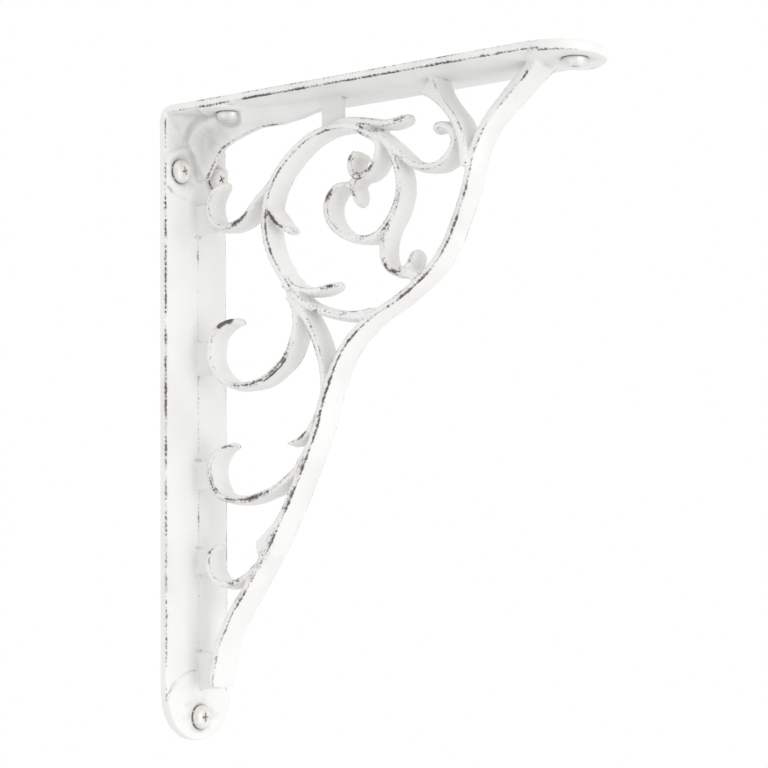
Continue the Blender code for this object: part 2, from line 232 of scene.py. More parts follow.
def corner_fillet():
    """Hollow-sided fillet in the inner corner, its leg given at stations across the plates."""
    rings = []
    for y, leg in FILLET:
        surface = CREST - (CREST - EDGE) * abs(y) / HALF
        cx = surface + leg
        cz = TOP - surface - leg
        ring = [(FILLET_ROOT, y, TOP - FILLET_ROOT), (FILLET_ROOT, y, cz)]
        for i in range(FILLET_STEPS + 1):
            a = math.radians(90 * i / FILLET_STEPS)
            ring.append((cx - leg * math.cos(a) - FILLET_OVERLAP, y, cz + leg * math.sin(a) + FILLET_OVERLAP))
        ring.append((cx, y, TOP - FILLET_ROOT))
        rings.append(ring)
    return closed_solid("fillet", rings)


def upright_slab(name, outline, width):
    """Outline in x, z carried to both sides of the middle plane."""
    return closed_solid(name, [[(x, y, z) for x, z in outline] for y in (-width / 2, width / 2)])


def gusset():
    """Web in the corner: half its thickness grows where less and less of its outline is left."""
    flare = [(-y, share) for y, share in WEB_FLARE] + [(y, share) for y, share in reversed(WEB_FLARE)]
    root = Vector(WEB[-1])
    rings = []
    for y, share in flare:
        ring = [root.lerp(Vector(p), share) for p in WEB]
        rings.append([(p.x, y, p.y) for p in ring])
    return closed_solid("gusset", rings)


corner = [corner_fillet(), gusset()]

# The brace and the scrolls.
# Flat bars standing on edge, cast in one with the plates: each follows a curve in the middle plane, thickest
# at the parting line half way across and drafted to its two faces. Thin stands tie them to the plates.
DRAFT = 1.6
STAND_DRAFT = 0.4
SWEEP_STEP = 0.7
TIP_ROUND = 3.2
FOOT_ROUND = 0.6
LEAST_TIP = 0.03
END_TAPER = 0.2
TIP_LENGTH = 11.0
SPUR_WIDTH = 13.0
BARS = {
    "brace": ((14.5, 11.4, 10.8, 11.8, 12.8, 12.8, 13.2, 13.6, 13.8), 2.4, (1.4, 1.1), [
        (167, 121.5), (159.9, 115.5), (152.9, 109.5), (147.2, 104.5), (142.6, 99), (139, 92.5), (137, 86),
        (134.9, 78.5), (132.3, 72), (129.1, 65), (125.1, 57.5), (119.3, 50.6), (111.9, 45), (102.8, 39.5),
        (93.9, 35.4), (86.8, 30.9), (80.4, 25.3), (75.8, 18.8), (72.1, 11), (68.8, 3), (66.4, -5),
        (62.5, -14), (58.1, -23), (52.7, -33.5), (47.7, -42), (43.2, -50), (37.7, -58), (31.7, -66.5),
        (26.3, -73.5), (21.9, -80.5), (18.1, -88), (16.1, -95.5), (14.2, -104)]),
    "ring": ((12.0,), 2.4, (1.0, 1.4), [
        (96, 101.8), (87.5, 106.9), (77, 109.2), (65.5, 107.4), (55.4, 101.8), (47.1, 93.8), (42.7, 84.5),
        (41.6, 74.5), (43.9, 64), (49.7, 54), (56, 45.5), (65, 40), (76.5, 36.5), (86, 35.5), (93, 36)]),
    "top_leaf": ((10.5,), 2.4, (0.8, 1.0), [
        (71, 110), (81, 110.9), (90, 109.5), (98.5, 107.5), (103.5, 107.8), (106.8, 108.6), (109.3, 109.6)]),
    "inner_curl": ((11.0,), 2.2, (1.2, 1.2), [
        (88, 106), (93.5, 103), (95.8, 99.7), (95.7, 96.2), (93.7, 92.2), (90.7, 89.5), (87, 88.5), (84, 90),
        (83, 93), (83.5, 96), (85.5, 97.5)]),
    "stem": ((11.5,), 2.2, (1.0, 0.9), [
        (93, 104.5), (100, 99.5), (103, 94), (105.2, 87.5), (105.5, 81), (104, 75.5), (100.6, 70.2),
        (96.2, 66), (91.3, 64.3), (85.8, 64.8), (80, 66.4), (75.2, 70), (72.4, 74), (71.6, 79), (73.2, 82.8),
        (76.2, 85.5), (80.8, 86), (83.8, 84), (84.7, 80.5), (85.5, 77)]),
    "right_scroll": ((11.0,), 2.4, (1.0, 1.1), [
        (95.5, 104), (101, 99.3), (105.5, 95.2), (110, 91.3), (114.5, 89.2), (119.8, 88.3), (124, 89.1),
        (127.6, 91.5), (129.8, 94.4), (130.4, 97.6), (128.8, 101), (125.2, 103.3), (122, 102.9),
        (120.9, 100.8)]),
    "arm_leaf": ((13.5,), 3.0, (2.8, 1.0), [
        (119.2, 119.4), (122.3, 115.6), (126.4, 111), (130.3, 106.2), (132.6, 102), (134.2, 97.5),
        (135, 92.5), (135.4, 86.5)]),
    "hook": ((10.5,), 2.2, (1.0, 1.4), [
        (103.5, 73.5), (100, 68), (97.8, 62.5), (97.5, 57.3), (98.9, 53.3), (102.6, 50.4), (106.8, 50.4),
        (109.8, 53.4), (111.2, 58.6)]),
    "hook_root": ((10.0,), 3.4, (1.0, 1.3), [(104.6, 50.8), (109.2, 49.2), (113.6, 46.5)]),
    "top_left": ((11.0,), 2.2, (1.2, 1.0), [
        (45, 91), (40, 87.2), (35, 82.7), (30, 78.3), (24, 76.4), (18.5, 76.5), (15, 79), (13, 83),
        (13, 87.5), (15, 91), (18.3, 93), (20.9, 94)]),
    "ring_spur": ((11.5,), 2.4, (1.2, 0.6), [
        (41.5, 82), (45, 78.4), (47.8, 74.7), (51.4, 72.3), (54.9, 71.1)]),
    "second": ((10.6,), 2.4, (1.2, 0.8), [
        (52, 50.5), (55, 42.5), (56, 36.5), (55.4, 31.5), (53.3, 26), (50.2, 21.4), (45.6, 17.7),
        (39.6, 14.2), (33, 12.7), (26, 12.9), (20.4, 15), (15.7, 19), (13.2, 24), (13.2, 29),
        (14.4, 33.5), (18, 36.6), (23, 38.4), (28.3, 37.9)]),
    "leaf": ((11.0,), 2.4, (2.3, 0.8), [
        (51, 51.6), (54.5, 49.3), (59, 47.7), (64, 46.6), (69, 47), (73, 48), (76, 49)]),
    "branch": ((11.6,), 2.4, (1.4, 0.5), [
        (53, 46), (58, 40.5), (61.6, 35.5), (64.6, 30), (67, 24), (68.8, 18), (69.5, 12), (69.5, 6),
        (67.7, 1), (66.3, -1.5), (63.2, -6), (58.2, -9.8), (52.4, -11.4)]),
    "third": ((11.0,), 2.4, (1.1, 0.7), [
        (62.6, -12.5), (58.6, -17.9), (55.2, -22.2), (50.4, -25.5), (45, -28.4), (38.6, -30.4), (32.8, -31.9),
        (26.3, -31.9), (21.2, -31), (16.8, -28.8), (14.3, -24.5), (13.3, -19.5), (14.8, -15), (18.2, -11.7),
        (22, -10.6), (25.2, -10.9)]),
    "fourth": ((11.0,), 2.4, (1.4, 0.7), [
        (42.3, -52), (38.9, -56), (34.4, -59.5), (29.9, -62.5), (24.7, -64.3), (19.8, -64.3), (15.3, -62.5),
        (12.6, -58.5), (12.1, -54), (13.8, -50.6), (17.4, -49)]),
    "curl_bridge": ((9.5,), 2.6, (1.0, 1.0), [(87, 89.5), (81.5, 85)]),
}
FREE_TIPS = {
    "top_leaf": 0.6, "stem": 0.5, "right_scroll": 0.8, "hook": 0.7, "top_left": 0.3, "ring_spur": 0.25,
    "second": 0.25, "leaf": 0.5, "third": 0.25, "fourth": 0.3,
}
STANDS = {
    "stand_top": (2.6, 13.4, 75.5, 87.0),
    "stand_second": (2.6, 14.8, 18.8, 31.6),
    "stand_third": (2.6, 14.3, -26.6, -16.0),
    "stand_fourth": (2.6, 13.4, -60.0, -50.6),
    "foot": (1.7, 15.5, -104.6, -91.0),
    "stand_ring": (67.2, 76.4, 109.2, 122.4),
}
SPUR = [(53.6, -32.5), (44.6, -42.6), (37.0, -48.8), (37.9, -52.8), (39.9, -57.2), (47.0, -45.2)]


def half_width(name, widths, share, left):
    """Half a bar's width at a share of its length, with so much of it left before its end."""
    station = share * (len(widths) - 1)
    low = int(station)
    high = min(low + 1, len(widths) - 1)
    half = (widths[low] + (widths[high] - widths[low]) * (station - low)) / 2
    at_tip = max(0, 1 - left / TIP_LENGTH)
    return half * (1 - (1 - FREE_TIPS.get(name, 1)) * at_tip ** 2)


def bar_lines():
    """Every bar's middle line as a loose chain of vertices in x, y, with its sizes as attributes."""
    points = []
    links = []
    sizes = {"half_width": [], "half_face": [], "free": [], "bar_number": []}
    for number, (name, (widths, face, ends, path)) in enumerate(BARS.items()):
        walked = [0.0]
        for a, b in zip(path, path[1:]):
            walked.append(walked[-1] + math.dist(a, b))
        free = 1.0 if name in FREE_TIPS else 0.0
        for i, (x, z) in enumerate(path):
            share = walked[i] / walked[-1]
            at_start = max(0, 1 - share / END_TAPER)
            at_end = max(0, 1 - (1 - share) / END_TAPER)
            scale = 1 + (ends[0] - 1) * at_start + (ends[1] - 1) * at_end
            if i > 0:
                links.append((len(points) - 1, len(points)))
            points.append((x * MM, z * MM, 0.0))
            sizes["half_width"].append(half_width(name, widths, share, walked[-1] - walked[i]) * MM)
            sizes["half_face"].append(face / 2 * scale * MM)
            sizes["free"].append(FOOT_ROUND if name == "brace" else free)
            sizes["bar_number"].append(number)
    mesh = bpy.data.meshes.new("bar_lines")
    mesh.from_pydata(points, links, [])
    for name, values in sizes.items():
        mesh.attributes.new(name, "FLOAT", "POINT").data.foreach_set("value", values)
    obj = bpy.data.objects.new("bars", mesh)
    bpy.context.scene.collection.objects.link(obj)
    return obj


def node_layer(tree):
    """Function that adds a node to the tree: it links an input given as a socket, and sets any other."""
    def add(kind, inputs=None, **settings):
        made = tree.nodes.new(kind)
        for key, value in settings.items():
            setattr(made, key, value)
        for key, value in (inputs or {}).items():
            if isinstance(value, bpy.types.NodeSocket):
                tree.links.new(value, made.inputs[key])
            else:
                made.inputs[key].default_value = value
        return made
    return add


def new_tree(name, given):
    """Geometry tree that takes a geometry and the named inputs, and gives a geometry."""
    tree = bpy.data.node_groups.new(name, "GeometryNodeTree")
    tree.interface.new_socket("Geometry", in_out="INPUT", socket_type="NodeSocketGeometry")
    for socket, kind in given.items():
        tree.interface.new_socket(socket, in_out="INPUT", socket_type=kind)
    tree.interface.new_socket("Geometry", in_out="OUTPUT", socket_type="NodeSocketGeometry")
    return tree


def bar_tree():
    """Sweeps the drafted six-sided section along every chain of the mesh, rounded off at the free tips."""
    tree = new_tree("drafted_bars", {"Draft": "NodeSocketFloat", "Step": "NodeSocketFloat",
                                     "Tip Round": "NodeSocketFloat"})
    add = node_layer(tree)

    def maths(operation, a, b):
        return add("ShaderNodeMath", {0: a, 1: b}, operation=operation).outputs[0]

    def named(name):
        return add("GeometryNodeInputNamedAttribute", {"Name": name}, data_type="FLOAT").outputs["Attribute"]

    given = add("NodeGroupInput")
    chain = add("GeometryNodeMeshToCurve", {0: given.outputs["Geometry"]})
    smooth = add("GeometryNodeCurveSplineType", {"Curve": chain.outputs[0]}, spline_type="CATMULL_ROM")
    evenly = add("GeometryNodeResampleCurve", {"Curve": smooth.outputs[0], "Length": given.outputs["Step"]},
                 mode="LENGTH")
    flat = add("GeometryNodeSetCurveNormal", {"Curve": evenly.outputs[0]}, mode="Z_UP")
    kept = add("GeometryNodeCaptureAttribute", domain="POINT")
    for kind, name in (("VECTOR", "Middle"), ("VECTOR", "Side"), ("FLOAT", "Along"), ("FLOAT", "Left")):
        kept.capture_items.new(kind, name)
    walked = add("GeometryNodeSplineParameter")
    whole = add("GeometryNodeSplineLength").outputs["Length"]
    position = add("GeometryNodeInputPosition").outputs[0]
    normal = add("GeometryNodeInputNormal").outputs[0]
    fields = (flat.outputs[0], position, normal, walked.outputs["Factor"],
              maths("SUBTRACT", whole, walked.outputs["Length"]))
    for field_value, socket in zip(fields, kept.inputs):
        tree.links.new(field_value, socket)
    line, middle, side, along, left = kept.outputs[:5]
    section = add("GeometryNodeCurvePrimitiveQuadrilateral", {"Width": 2.0, "Height": 2.0})
    halved = add("GeometryNodeSubdivideCurve", {"Curve": section.outputs[0], "Cuts": 1})
    swept = add("GeometryNodeCurveToMesh", {"Curve": line, "Profile Curve": halved.outputs[0],
                                            "Fill Caps": True})
    offset = add("ShaderNodeVectorMath", {0: position, 1: middle}, operation="SUBTRACT").outputs[0]
    to_side = add("ShaderNodeVectorMath", {0: offset, 1: side}, operation="DOT_PRODUCT")
    to_face = add("ShaderNodeSeparateXYZ", {0: offset})
    geometry = swept.outputs[0]
    for name, value in (("section_side", to_side.outputs["Value"]), ("section_face", to_face.outputs["Z"]),
                        ("along", along), ("left", left)):
        stored = add("GeometryNodeStoreNamedAttribute", {"Name": name, "Geometry": geometry, "Value": value},
                     data_type="FLOAT", domain="POINT")
        geometry = stored.outputs[0]
    before_tip = maths("DIVIDE", named("left"), given.outputs["Tip Round"])
    into_tip = maths("MAXIMUM", 0.0, maths("SUBTRACT", 1.0, before_tip))
    cut_off = maths("MULTIPLY", into_tip, named("free"))
    kept_share = maths("SUBTRACT", 1.0, maths("MULTIPLY", cut_off, cut_off))
    rounding = maths("SQRT", maths("MAXIMUM", LEAST_TIP, kept_share), 0.0)
    inward = maths("SUBTRACT", 1.0, maths("ABSOLUTE", named("section_face"), 0.0))
    thick = maths("ADD", named("half_face"), maths("MULTIPLY", inward, given.outputs["Draft"]))
    reach = maths("MULTIPLY", maths("MULTIPLY", named("section_side"), thick), rounding)
    sideways = add("ShaderNodeVectorMath", {0: side, "Scale": reach}, operation="SCALE")
    half = maths("MULTIPLY", named("half_width"), rounding)
    across = add("ShaderNodeCombineXYZ", {"Z": maths("MULTIPLY", named("section_face"), half)})
    moved = add("ShaderNodeVectorMath", {0: middle, 1: sideways.outputs[0]}, operation="ADD")
    placed = add("ShaderNodeVectorMath", {0: moved.outputs[0], 1: across.outputs[0]}, operation="ADD")
    shaped = add("GeometryNodeSetPosition", {"Geometry": geometry, "Position": placed.outputs[0]})
    upright = add("GeometryNodeTransform", {"Geometry": shaped.outputs[0], "Rotation": (math.pi / 2, 0, 0)})
    real = add("GeometryNodeRealizeInstances", {0: upright.outputs[0]})
    add("NodeGroupOutput", {0: real.outputs[0]})
    return tree


def grow(obj, tree, values):
    """Runs a geometry tree on an object with the given inputs and keeps the result as a plain mesh."""
    mod = obj.modifiers.new(tree.name, "NODES")
    mod.node_group = tree
    for item in tree.interface.items_tree:
        if item.item_type == "SOCKET" and item.in_out == "INPUT" and item.name in values:
            mod[item.identifier] = values[item.name]
    graph = bpy.context.evaluated_depsgraph_get()
    mesh = bpy.data.meshes.new_from_object(obj.evaluated_get(graph))
    obj.modifiers.clear()
    obj.data = mesh
    return obj


def stand(name, x0, x1, z0, z1):
    """Thin drafted block between a scroll and its plate."""
    rings = []
    for y, more in ((-WEB_WIDTH / 2, 0.0), (0.0, STAND_DRAFT), (WEB_WIDTH / 2, 0.0)):
        rings.append([(x0 - more, y, z0 - more), (x1 + more, y, z0 - more),
                      (x1 + more, y, z1 + more), (x0 - more, y, z1 + more)])
    return closed_solid(name, rings)


bars = grow(bar_lines(), bar_tree(), {"Draft": DRAFT / 2 * MM, "Step": SWEEP_STEP * MM,
                                      "Tip Round": TIP_ROUND * MM})
stands = [stand(name, *sizes) for name, sizes in STANDS.items()]
spur = upright_slab("spur", SPUR, SPUR_WIDTH)

# The rubbed places.
# Years of handling have taken the paint off along the bars' narrow faces and along the plates' edges. Each
# bar's marks run on the left, middle or right of its face, from and to a share of its length, so strongly.
RUBBED_BARS = {
    "brace": [("L", 0.01, 0.05, 0.5), ("L", 0.02, 0.2, 0.6), ("L", 0.15, 0.3, 0.6), ("L", 0.27, 0.39, 0.8),
              ("L", 0.35, 0.52, 0.6), ("L", 0.47, 0.68, 0.8), ("L", 0.6, 0.83, 0.65), ("L", 0.75, 1.02, 0.6),
              ("M", 0.62, 0.9, 0.3)],
    "ring": [("L", 0.08, 0.55, 0.6), ("L", 0.5, 0.8, 0.4), ("L", 0.88, 1.02, 0.6), ("M", 0.78, 1, 0.45),
             ("R", 0.1, 0.3, 0.35)],
    "top_leaf": [("M", 0.82, 0.97, 0.6), ("R", 0, 0.13, 0.5), ("R", 0.7, 0.8, 0.5)],
    "inner_curl": [("M", 0.45, 0.58, 0.8), ("M", 0.85, 0.97, 0.75)],
    "stem": [("M", 0.25, 0.32, 0.35), ("L", 0.38, 0.45, 0.7), ("R", 0.46, 0.55, 0.7), ("M", 0.5, 0.57, 0.6),
             ("M", 0.78, 0.84, 0.75), ("M", 0.92, 0.97, 0.6)],
    "right_scroll": [("M", 0.25, 0.3, 0.4), ("R", 0.93, 1, 0.6)],
    "arm_leaf": [("L", 0.2, 0.5, 0.3), ("L", 0.93, 1, 0.5)],
    "hook": [("M", 0.07, 0.33, 0.55), ("M", 0.45, 0.78, 0.8), ("M", 0.85, 1, 0.65)],
    "hook_root": [("R", 0, 0.2, 0.7)],
    "top_left": [("M", 0.26, 0.46, 1.0), ("L", 0.03, 0.07, 0.4), ("L", 0.88, 0.93, 0.5)],
    "ring_spur": [("M", 0.06, 0.8, 1.2), ("M", 0.88, 1, 0.7)],
    "second": [("L", 0.28, 0.45, 0.9), ("M", 0.23, 0.62, 0.7), ("L", 0.88, 0.97, 1.2),
               ("M", 0.88, 0.97, 1.25)],
    "leaf": [("M", 0.7, 0.93, 1.0)],
    "branch": [("R", 0.27, 0.42, 0.7), ("L", 0.63, 0.73, 0.7), ("M", 0.84, 1, 1.0)],
    "third": [("R", 0.13, 0.3, 0.9), ("M", 0.2, 0.62, 1.0), ("M", 0.65, 0.8, 0.6), ("M", 0.92, 0.99, 0.85)],
    "fourth": [("L", 0.1, 0.2, 0.45), ("M", 0.3, 0.55, 0.55), ("M", 0.86, 0.96, 0.95)],
}
SLIGHT = 0.15
FAR_SIDE = 0.07
FAR_LESS = 0.2

# The plates' marks, as (start, stop, strength) in millimetres along each line
RUBBED_WALL_EDGE = [(-105, -60, 0.4), (-70, -18, 0.5), (-30, -1, 0.55), (-10, 30, 0.7), (22, 76, 0.65),
                    (66, 98, 0.4), (90, 106, 0.5), (100, 124, 0.4)]
RUBBED_WALL_CREST = [(-45, -20, 0.3), (10, 48, 0.3)]
RUBBED_ARM_EDGE = [(1, 21, 0.45), (18, 38, 0.6), (34, 86, 0.75), (76, 126, 0.75), (116, 168, 0.75),
                   (160, 176, 0.45), (171, 187, 0.8), (183, 190, 0.5)]
RUBBED_ARM_TOP = [(60, 172, 0.25)]
RUBBED_WEB = [(-4, 30, 0.5), (24, 62, 0.35)]
MARK_STEP = 0.7
FAR_SHIFT = 9.0
ON_LUG = 0.8

# The lines on the plates: where each starts and stops, its marks, how far across it lies and how high
PLATE_LINES = [
    (on_wall, (BOTTOM + 16, TOP - 4), RUBBED_WALL_EDGE, HALF - 0.1, EDGE),
    (on_wall, (BOTTOM + 20, TOP - 38), RUBBED_WALL_CREST, 0, CREST),
    (on_arm, (4, ARM - 2), RUBBED_ARM_EDGE, HALF - 0.1, EDGE),
    (on_arm, (4, ARM - 14), RUBBED_ARM_TOP, HALF, 0),
]


def strength_at(marks, where):
    """Strongest of the marks at a place, each fading to its ends, or the slight wear that is everywhere."""
    strongest = SLIGHT
    for start, stop, strength in marks:
        off_middle = abs(2 * (where - start) / (stop - start) - 1)
        if off_middle < 1:
            strongest = max(strongest, strength * (1 - off_middle ** 4))
    return strongest


def bar_marks(mesh):
    """Places on the bars' two faces, each with its strength; the far face wears a little further along."""
    names = list(BARS)
    lines = {-1: "L", 0: "M", 1: "R"}
    values = {}
    for name in ("section_side", "section_face", "along", "bar_number"):
        values[name] = [item.value for item in mesh.attributes[name].data]
    places = []
    for i, vertex in enumerate(mesh.vertices):
        face = values["section_face"][i]
        if abs(face) < 0.5:
            continue
        line = lines[round(values["section_side"][i])]
        on_bar = RUBBED_BARS.get(names[round(values["bar_number"][i])], [])
        marks = [mark[1:] for mark in on_bar if mark[0] == line]
        shift, less = (0, 0) if face > 0 else (FAR_SIDE, FAR_LESS)
        strength = strength_at(marks, values["along"][i] + shift) - less
        if line != "M" or strength > SLIGHT:
            places.append((vertex.co.copy(), strength))
    return places


def plate_marks():
    """Places along the plates' long edges, the ridge and the web's free edge, each with its strength."""
    places = []
    for side in (-1, 1):
        shift = 0 if side < 0 else FAR_SHIFT
        for place, (start, stop), marks, y, height in PLATE_LINES:
            for i in range(int((stop - start) / MARK_STEP)):
                along = start + i * MARK_STEP
                from_tip = min(LUG_LENGTH, along - BOTTOM if place is on_wall else ARM - along)
                narrowing = math.sqrt(1 - (1 - from_tip / LUG_LENGTH) ** 2)
                lift = PAD - EDGE if from_tip < LUG_LENGTH * ON_LUG and height == EDGE else 0
                point = place(side * y * narrowing, along, height + lift)
                places.append((Vector(point) * MM, strength_at(marks, along + shift)))
        walked = 0.0
        for a, b in zip(WEB_EDGE, WEB_EDGE[1:]):
            length = math.dist(a, b)
            for i in range(int(length / MARK_STEP)):
                x, z = Vector(a).lerp(Vector(b), i * MARK_STEP / length)
                where = Vector((x, side * WEB_WIDTH / 3, z)) * MM
                places.append((where, strength_at(RUBBED_WEB, walked + i * MARK_STEP)))
            walked += length
    return places


on_plates = plate_marks()
marks = bar_marks(bars.data) + on_plates

# The casting as it leaves the sand.
# All of it is poured in one, so the parts are run together into a single skin, which rounds its edges and
# gives every joint a small fillet. The skin is then thinned where it is flat, except along the plates' edges.
SKIN = 0.5
SOFTENING = 5
LARGEST = 190000
KEPT = 0.9


def run_together(name, objects):
    """One object that holds the meshes of all the given objects, which are removed."""
    bm = bmesh.new()
    for obj in objects:
        bm.from_mesh(obj.data)
        bpy.data.objects.remove(obj)
    mesh = bpy.data.meshes.new(name)
    bm.to_mesh(mesh)
    bm.free()
    obj = bpy.data.objects.new(name, mesh)
    bpy.context.scene.collection.objects.link(obj)
    return obj


def finished(obj):
    """Replaces the mesh by what its modifiers make of it."""
    graph = bpy.context.evaluated_depsgraph_get()
    mesh = bpy.data.meshes.new_from_object(obj.evaluated_get(graph))
    obj.modifiers.clear()
    obj.data = mesh


def tree_of(points):
    """Search tree that finds the points near a place."""
    tree = KDTree(len(points))
    for i, point in enumerate(points):
        tree.insert(point, i)
    tree.balance()
    return tree


def keep_beside(obj, points):
    """Names the vertices beside the points as a group and returns the group's name."""
    tree = tree_of(points)
    group = obj.vertex_groups.new(name="kept")
    group.add([v.index for v in obj.data.vertices if tree.find(v.co)[2] < KEPT * MM], 1.0, "REPLACE")
    return group.name


casting = run_together("bracket_in_worn_paint", [strip, bars, spur] + corner + stands)
skin = casting.modifiers.new("skin", "REMESH")
skin.mode = "VOXEL"
skin.voxel_size = SKIN * MM
soften = casting.modifiers.new("soften", "SMOOTH")
soften.factor = 0.5
soften.iterations = SOFTENING
finished(casting)
count = sum(len(p.vertices) - 2 for p in casting.data.polygons)
if count > LARGEST:
    thin = casting.modifiers.new("thin", "DECIMATE")
    thin.ratio = LARGEST / count
    thin.vertex_group = keep_beside(casting, [point for point, _ in on_plates])
    thin.invert_vertex_group = True
    finished(casting)
    casting.vertex_groups.clear()
casting.data.shade_smooth()
flats = casting.modifiers.new("flats", "WEIGHTED_NORMAL")
flats.mode = "FACE_AREA"
finished(casting)

# The worn white paint.
# Thick off-white paint, slightly uneven, with painted shade darkening the hollows, the inner corner and a
# ring round each screw. Where it is rubbed through, the brown-black iron shows in thin ragged lines with a
# pinkish-grey border.
LEAST_RUB = 0.5
MORE_RUB = 0.65
REACH = 1.6
OFF_SKIN = 1.2
# Painted shade: how far the smoothing must lift a hollow to darken it fully, and how strongly a ring at each
# countersink's rim and the inner corner are darkened
HOLLOW_DEPTH = 0.5
HOLLOW_ROUNDS = 14
RIM_SHADE = 0.9
RIM_SHADE_WIDTH = 1.6
CORNER_HEART = 11.0
CORNER_REACH = 26.0
CORNER_SHADE = 0.7
BACK_SKIN = 0.3
PAINT_ROUGHNESS = 0.42
BARE_ROUGHER = 0.25
PAINT_RELIEF = 0.0004
PAINT = (0.85, 0.85, 0.835, 1)
DUSTY_PAINT = (0.76, 0.755, 0.735, 1)
# Colour of the painted shade in the hollows, the inner corner and round the screws
HOLLOW_SHADE = (0.47, 0.465, 0.45, 1)
WORN_BORDER = (0.46, 0.42, 0.40, 1)
BARE_IRON = (0.085, 0.075, 0.071, 1)
RUSTY_IRON = (0.15, 0.12, 0.107, 1)


def spread_marks(obj, places):
    """Stores on every vertex how far it lies inside a rubbed line on the skin, in millimetres."""
    bpy.context.view_layer.update()
    rubs = []
    for point, strength in places:
        hit, on_skin, _, _ = obj.closest_point_on_mesh(point, distance=OFF_SKIN * MM)
        if hit:
            rubs.append((on_skin, LEAST_RUB + MORE_RUB * strength))
    tree = tree_of([point for point, _ in rubs])
    values = []
    for vertex in obj.data.vertices:
        near = tree.find_range(vertex.co, REACH * MM) or [tree.find(vertex.co)]
        values.append(max(rubs[i][1] - distance / MM for _, i, distance in near))
    obj.data.attributes.new("rubbed", "FLOAT", "POINT").data.foreach_set("value", values)


def store_hollows(obj):
    """Stores painted shade on every vertex: how far a heavy smoothing lifts it, more round the screws and in
    the corner.
    """
    smoother = obj.modifiers.new("smoother", "SMOOTH")
    smoother.factor = 0.5
    smoother.iterations = HOLLOW_ROUNDS
    graph = bpy.context.evaluated_depsgraph_get()
    smoothed = obj.evaluated_get(graph).to_mesh()
    rims = [Vector(place(across, along, PAD)) for place, across, along in HOLES.values()]
    corner_heart = Vector((CORNER_HEART, 0, TOP - CORNER_HEART))
    values = []
    for vertex, lifted in zip(obj.data.vertices, smoothed.vertices):
        rise = (lifted.co - vertex.co).dot(vertex.normal) / (HOLLOW_DEPTH * MM)
        from_rim = min(abs((vertex.co / MM - rim).length - SINK_RADIUS) for rim in rims)
        in_corner = max(0.0, 1 - (vertex.co / MM - corner_heart).length / CORNER_REACH)
        # Painted shade: the smoothing's lift, a ring at each countersink's rim and the inner corner, none on
        # the back
        shaded = max(rise, RIM_SHADE * (1 - from_rim / RIM_SHADE_WIDTH)) + CORNER_SHADE * in_corner
        on_back = vertex.co.x < BACK_SKIN * MM or vertex.co.z > (TOP - BACK_SKIN) * MM
        values.append(-1.0 if on_back else max(-1.0, min(1.0, shaded)))
    obj.modifiers.clear()
    obj.data.attributes.new("hollow", "FLOAT", "POINT").data.foreach_set("value", values)


def new_material(name):
    """Plain material, with the function that adds nodes to its tree and its shader node."""
    mat = bpy.data.materials.new(name)
    mat.use_nodes = True
    return mat, node_layer(mat.node_tree), mat.node_tree.nodes["Principled BSDF"]


def worn_paint():
    """White paint over iron, worn where the mesh's rubbed attribute says and darkened with painted shade
    where its hollow attribute says.
    """
    mat, add, shader = new_material("worn_white_paint")
    links = mat.node_tree.links
    place = add("ShaderNodeTexCoord").outputs["Object"]

    def grain(scale, detail):
        return add("ShaderNodeTexNoise", {"Vector": place, "Scale": scale, "Detail": detail}).outputs["Fac"]

    def maths(operation, a, b):
        return add("ShaderNodeMath", {0: a, 1: b}, operation=operation).outputs[0]

    def uneven(scale, detail, amount):
        return maths("MULTIPLY", maths("SUBTRACT", grain(scale, detail), 0.5), amount)

    def ramped(value, low, high, most=1.0):
        return add("ShaderNodeMapRange", {"Value": value, "From Min": low, "From Max": high, "To Max": most},
                   interpolation_type="SMOOTHSTEP").outputs["Result"]

    def blended(share, below, above):
        mixed = add("ShaderNodeMix", {0: share, 6: below, 7: above}, data_type="RGBA")
        return mixed.outputs[2]

    rubbed = add("ShaderNodeAttribute", attribute_name="rubbed").outputs["Fac"]
    hollow = add("ShaderNodeAttribute", attribute_name="hollow").outputs["Fac"]
    long_break = uneven(130, 2.0, 1.5)
    ragged = uneven(900, 4.0, 1.5)
    depth = maths("ADD", rubbed, maths("ADD", long_break, ragged))
    bare = ramped(depth, 0.4, 0.86)
    speckle = maths("ADD", depth, uneven(1500, 3.0, 2.0))
    border = ramped(speckle, 0.0, 0.8, 0.55)
    dust = ramped(grain(32, 4.0), 0.4, 0.72, 0.8)
    # Painted shade: the hollows, the countersinks' rims and the inner corner are darkened, broken up by noise
    painted_shade = ramped(maths("ADD", hollow, uneven(240, 4.0, 0.5)), 0.08, 0.9, 0.75)
    colour = blended(dust, PAINT, DUSTY_PAINT)
    colour = blended(painted_shade, colour, HOLLOW_SHADE)
    colour = blended(border, colour, WORN_BORDER)
    colour = blended(bare, colour, blended(ramped(grain(420, 3.0), 0.4, 0.62), BARE_IRON, RUSTY_IRON))
    links.new(colour, shader.inputs["Base Color"])
    roughness = maths("ADD", PAINT_ROUGHNESS, maths("MULTIPLY", bare, BARE_ROUGHER))
    links.new(roughness, shader.inputs["Roughness"])
    shader.inputs["Specular IOR Level"].default_value = 0.45
    lumps = maths("ADD", maths("MULTIPLY", grain(95, 2.0), 1.1), maths("MULTIPLY", grain(1300, 2.0), 0.12))
    height = maths("SUBTRACT", lumps, maths("MULTIPLY", bare, 0.5))
    bump = add("ShaderNodeBump", {"Height": height, "Strength": 0.5, "Distance": PAINT_RELIEF})
    links.new(bump.outputs["Normal"], shader.inputs["Normal"])
    return mat


spread_marks(casting, marks)
store_hollows(casting)
casting.data.materials.clear()
casting.data.materials.append(worn_paint())
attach(casting, "root")
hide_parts("bracket_casting")
